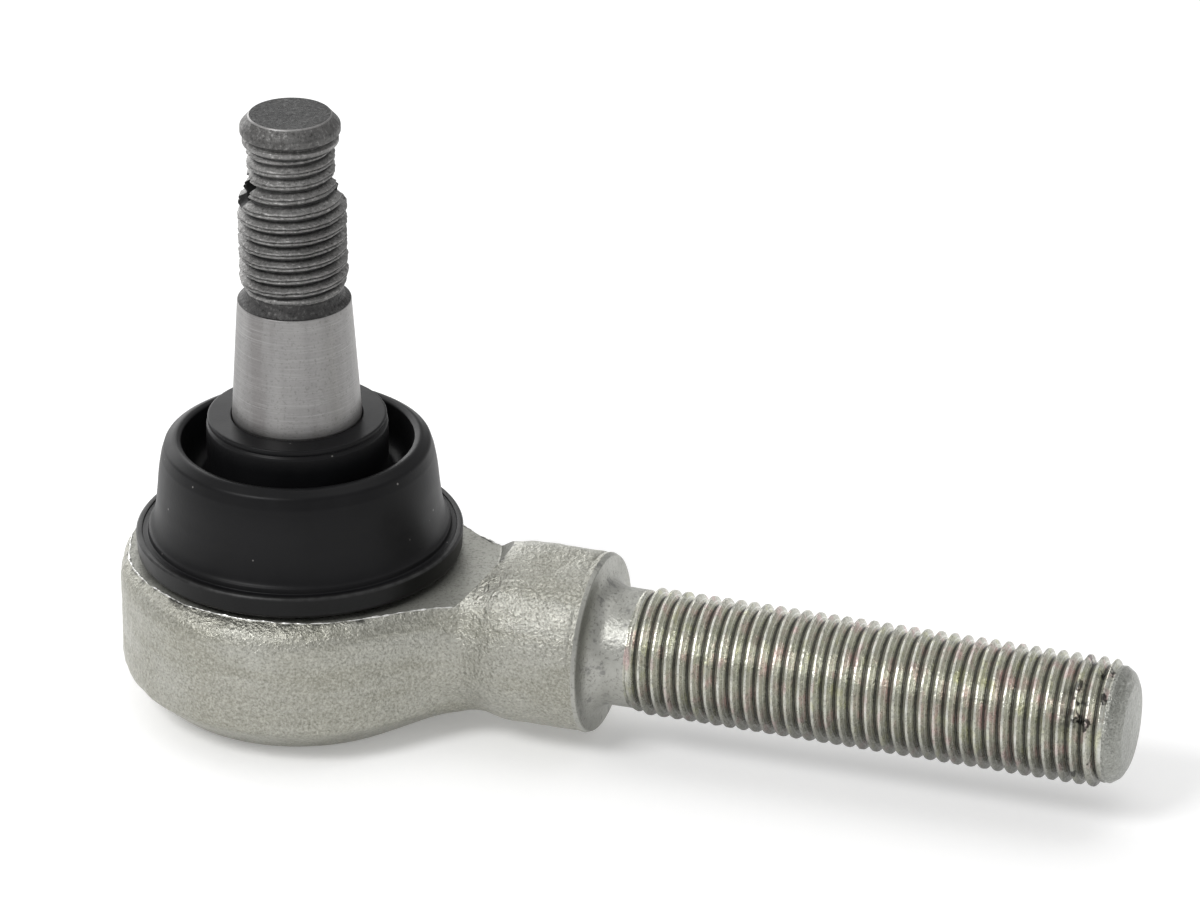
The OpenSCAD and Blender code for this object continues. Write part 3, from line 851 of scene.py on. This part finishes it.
# ---------------------------------------------------------------- ball stud
def make_stud():
    """Ball, neck, ground taper, rolled thread with its reduced end, cap and cotter pin hole."""
    start, end = THREAD_START, THREAD_END

    def envelope(s, low, full, waist, cap):
        rise = low + (full - low) * smooth_step(s, 36.2, 37.7)
        narrow = full + (waist - full) * smooth_step(s, 46.2, 49.6)
        return np.where(s < 42, rise, narrow) + (cap - waist) * smooth_step(s, 52.4, end)

    def root_of(s):
        return envelope(s, START_R, STUD_ROOT_R, WAIST_ROOT_R, END_R)

    def crest_of(s):
        return envelope(s, START_R, STUD_CREST_R, WAIST_CREST_R, END_R)

    flat = -math.asin(BALL_FLAT / BALL_R)
    neck = math.acos(STUD_NECK_R / BALL_R)
    ball = [(BALL_R * math.cos(a), BALL_R * math.sin(a)) for a in np.linspace(flat, neck, 40)]
    shank = rounded([ball[-1], (STUD_NECK_R, 11.5, 2.0), (BOOT_SEAT_R, 15.6, 1.0), (BOOT_SEAT_R, 20.9, 0.1),
                     (7.1, 21.45, 0.5), (6.2, TAPER_TOP - 0.05, 0.1), (5.92, TAPER_TOP + 0.05, 0.1),
                     (5.5, TAPER_TOP + 0.4, 0.3), (START_R, start)], 5)
    before = np.concatenate([[(0, -BALL_FLAT), (5.0, -BALL_FLAT)], ball, shank[1:]])
    after = rounded([(END_R, end), (5.2, end + 0.45, 0.15), (5.2, end + 0.85, 0.15), (4.65, end + 1.15, 0.1),
                     (CAP_R, end + 1.6, 0.2), (CAP_R, STUD_TOP - 1.15, 0.5), (4.42, STUD_TOP, 0.16),
                     (0, STUD_TOP)], 5)
    verts, faces = threaded_rod(start, end, root_of, crest_of, before, after, 160, 26, 0.34, 0.30, 0.030)
    skins = [PHOSPHATE, TAPER, DARK_SCALE, CAP_SCALE, CAP_FACE]
    stud = add_mesh("stud_body", verts, faces, skins, 40)

    flared = PIN_HOLE_R + 0.6
    pin_hole = rounded([(0, -9), (flared, -9), (flared, -5.6), (PIN_HOLE_R, -4.7),
                        (PIN_HOLE_R, 4.7), (flared, 5.6), (flared, 9), (0, 9)])
    hole, hole_faces = revolve(pin_hole, 48)
    c, s = math.cos(PIN_HOLE_TURN), math.sin(PIN_HOLE_TURN)
    x, y, z = hole.T
    hole = np.stack([z * c - x * s, z * s + x * c, y + PIN_HOLE_Z], 1)
    boolean(stud, add_mesh("pin_hole", hole, hole_faces, [HOLE_SHADE], 32), "DIFFERENCE")
    tidy_mesh(stud, 40)

    points = mesh_points(stud)
    z = points[:, 2]
    rho = np.hypot(points[:, 0], points[:, 1])
    depth = (crest_of(z) - rho) / np.maximum(crest_of(z) - root_of(z), 0.05)
    depth = np.where(z < end - 0.2, depth, (5.35 - rho) / 0.75)
    # Depth in the thread and under the cap, for the painted shade in the roots.
    store(stud, "groove", np.where((z > 36.9) & (z < STUD_TOP - 1.2), depth, 0.4))
    for face in stud.data.polygons:
        height = face.center[2] / MM
        rim = STUD_TOP - 0.14 < height < STUD_TOP - 0.005 and math.hypot(*face.center[:2]) > 4.2 * MM
        if face.material_index != skins.index(PHOSPHATE):
            continue
        if height < TAPER_TOP - 0.02 or rim:
            face.material_index = skins.index(TAPER)
        elif height < 36.6:
            face.material_index = skins.index(DARK_SCALE)
        elif height > STUD_TOP - 0.01:
            face.material_index = skins.index(CAP_FACE)
        elif height > end + 1.2:
            face.material_index = skins.index(CAP_SCALE)
    return declare(stud, "ball_stud", "stud")


# ---------------------------------------------------------------- boot and its base ring
def make_lower_bell(bell):
    """The bead in the base ring and the bell up to the split."""
    flare = rounded([(15.2, RING_LOW + 0.78), (17.36, RING_LOW + 0.78), (17.36, RING_TOP - 0.12, 0.08),
                     (16.7, RING_TOP - 0.10, 0.12), (16.62, 7.95)], 4)
    outline = np.concatenate([flare, bell, offset_outline(bell, -WALL)[::-1], [(15.2, 7.9)]])
    piece = add_mesh("boot_lower_bell", *revolve(outline, closed=True), [RUBBER], 40)
    declare(piece, "dust_boot")
    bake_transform(piece)


def make_upper_bell(bell):
    """The bell above the split and the rolled rim, down to the edge of the mouth."""
    outline = np.concatenate([bell, offset_outline(bell, -WALL)[::-1]])
    piece = add_mesh("boot_upper_bell", *revolve(outline, closed=True), [RUBBER], 40)
    declare(piece, "dust_boot")
    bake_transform(piece)


def make_neck_fold(mouth):
    """The deep fold inside the mouth."""
    fold = curve_through([mouth, (12.4, 16.6), (12.1, 15.2), (11.55, 14.3), (10.8, 13.9), (10.25, 14.3),
                          (NECK_FOLD_R, 15.3), (NECK_FOLD_R, 16.6), (NECK_FOLD_R, FULL_LEAN_Z)])
    outline = np.concatenate([fold, offset_outline(fold, -FOLD_WALL)[::-1]])
    piece = add_mesh("boot_neck_fold", *revolve(outline, closed=True), [RUBBER], 40)
    declare(piece, "dust_boot")
    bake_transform(piece)


def make_collar():
    """The collar that grips the stud."""
    outline = rounded([(8.9, FULL_LEAN_Z), (NECK_FOLD_R, FULL_LEAN_Z), (9.96, 18.65),
                       (NECK_FOLD_R, 20.35, 0.35), (9.55, 20.66, 0.1), (COLLAR_R, 20.72, 0.1),
                       (COLLAR_R, COLLAR_Z, 0.18), (7.25, COLLAR_Z, 0.15), (7.03, 21.0),
                       (7.03, 17.0), (8.9, 17.0)], 4)
    piece = add_mesh("boot_collar", *revolve(outline, closed=True), [RUBBER], 40)
    declare(piece, "dust_boot", "boot_neck")


def make_boot():
    """The boot in rings that meet edge to edge, so that each bends across one joint at most."""
    low = curve_through([(16.6, 8.1), (16.32, 8.4), (16.08, 9.0), (15.85, 10.0), (15.68, 11.0),
                         (SPLIT_R, SPLIT_Z)])
    side = curve_through([(SPLIT_R, SPLIT_Z), (15.46, 13.0), (15.34, 14.3), (15.18, 15.5),
                          (RIM_FOOT_R, RIM_FOOT_Z)])
    rim = rounded([(RIM_FOOT_R, RIM_FOOT_Z), (14.58, 17.92, 0.7), (13.5, 18.65, 0.8),
                   (12.78, 18.45, 0.3), (12.60, MOUTH_Z)], 8)
    high = np.concatenate([side, rim[1:]])
    make_lower_bell(low)
    make_upper_bell(high)
    make_neck_fold(high[-1])
    make_collar()


def make_base_ring():
    """The pressed ring on the boss: a channel that holds the bead of the boot."""
    low, top, out = RING_LOW, RING_TOP, RING_R - 0.1
    sheet = 0.7
    inner_top = low + 2.2
    outline = rounded([(BOSS_R, low, 0.1), (out - 0.12, low, 0.45), (out, top - 0.2, 0.12),
                       (out - 0.16, top, 0.07), (out - sheet, top, 0.06), (out - sheet, low + sheet, 0.2),
                       (BOSS_R + sheet, low + sheet, 0.2), (BOSS_R + sheet, inner_top, 0.1),
                       (BOSS_R, inner_top)], 4)
    ring = add_mesh("boot_base_ring_shell", *revolve(outline, closed=True), [BLACK], 32)
    points = mesh_points(ring)
    rho = np.hypot(points[:, 0], points[:, 1])
    # edge: where the painted highlight on the rolled edge goes.
    store(ring, "edge", (rho > out - 0.2) * smooth_step(points[:, 2], top - 0.32, top - 0.12))
    return declare(ring, "boot_base_ring", "housing")


def make_end_cover():
    """The stamped disc that the crimped lip holds in the bottom of the eye."""
    top, bottom, r = cover_high[2], cover_low[2], cover_high[0]
    rim = bottom + 0.7
    outline = rounded([(0, top - 0.7), (7.0, top - 0.7, 0.5), (8.0, top, 0.5), (r, top, 0.1), (r, rim, 0.25),
                       (8.5, rim, 0.6), (7.4, bottom, 0.6), (2.2, bottom, 0.3), (1.8, bottom + 0.25, 0.3),
                       (0, bottom + 0.25)], 5)
    cover = add_mesh("end_cover_plate", *revolve(outline, 160), [COVER], 32)
    return declare(cover, "end_cover", "housing")


def finish_cad_nodes():
    """The sealed inner pieces keep their CAD shape and get their own material."""
    for node, material in (("upper_ball_seat", ACETAL), ("lower_ball_seat", ACETAL),
                           ("preload_spring", WIRE), ("boot_neck_ring", WIRE)):
        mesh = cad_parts[node].data
        mesh.materials.clear()
        mesh.materials.append(material)


# ---------------------------------------------------------------- stage
def make_floor():
    """A wide sheet of paper just under the part."""
    half = 3000
    z = cad_low[2] / MM - 0.1
    corners = [(-half, -half, z), (half, -half, z), (half, half, z), (-half, half, z)]
    add_mesh("floor", corners, [(0, 1, 2, 3)], [floor_paper()], 32)


def make_world():
    """An even white room, shown without a film curve."""
    world = bpy.data.worlds.new("studio")
    world.use_nodes = True
    background = world.node_tree.nodes["Background"]
    background.inputs["Color"].default_value = (1, 1, 1, 1)
    background.inputs["Strength"].default_value = 0.5
    bpy.context.scene.world = world
    bpy.context.scene.view_settings.view_transform = "Standard"


def soft_box(name, place, size, glow):
    """An area light of a given surface brightness that faces the part. Lengths in metres."""
    data = bpy.data.lights.new(name, "AREA")
    data.shape = "RECTANGLE"
    data.size, data.size_y = size
    data.energy = glow * math.pi * size[0] * size[1]
    obj = bpy.data.objects.new(name, data)
    obj.location = place
    obj.rotation_euler = (Vector((0.03, 0, 0.01)) - Vector(place)).to_track_quat("-Z", "Y").to_euler()
    bpy.context.scene.collection.objects.link(obj)


def make_lights():
    """A key light up to the front left, a bright card behind and a wide top light."""
    soft_box("key", (-0.20, -0.40, 0.50), (0.26, 0.22), 11.5)
    soft_box("back_card", (-0.5, 0.5, 0.25), (0.7, 0.5), 2.3)
    soft_box("top", (0.1, 0.2, 0.8), (0.7, 0.5), 1.0)


def make_camera():
    """A long lens, raised 26 degrees and turned 19 degrees round from square to the shank."""
    turn, rise = math.radians(18.61), math.radians(26.22)
    reach = 0.6645
    aim = Vector((0.02906, 0.01724, 0.01316))
    forward = Vector((-math.sin(turn) * math.cos(rise), math.cos(turn) * math.cos(rise), -math.sin(rise)))
    data = bpy.data.cameras.new("camera")
    data.sensor_width = 36
    data.lens = 180
    data.clip_start = 0.01
    data.clip_end = 20
    camera = bpy.data.objects.new("camera", data)
    camera.location = aim - forward * reach
    camera.rotation_euler = forward.to_track_quat("-Z", "Y").to_euler()
    bpy.context.scene.collection.objects.link(camera)
    bpy.context.scene.camera = camera


make_camera()
make_edge_burr(make_forging())
make_shank_thread()
make_stud()
make_boot()
make_base_ring()
make_end_cover()
finish_cad_nodes()
make_floor()
make_world()
make_lights()
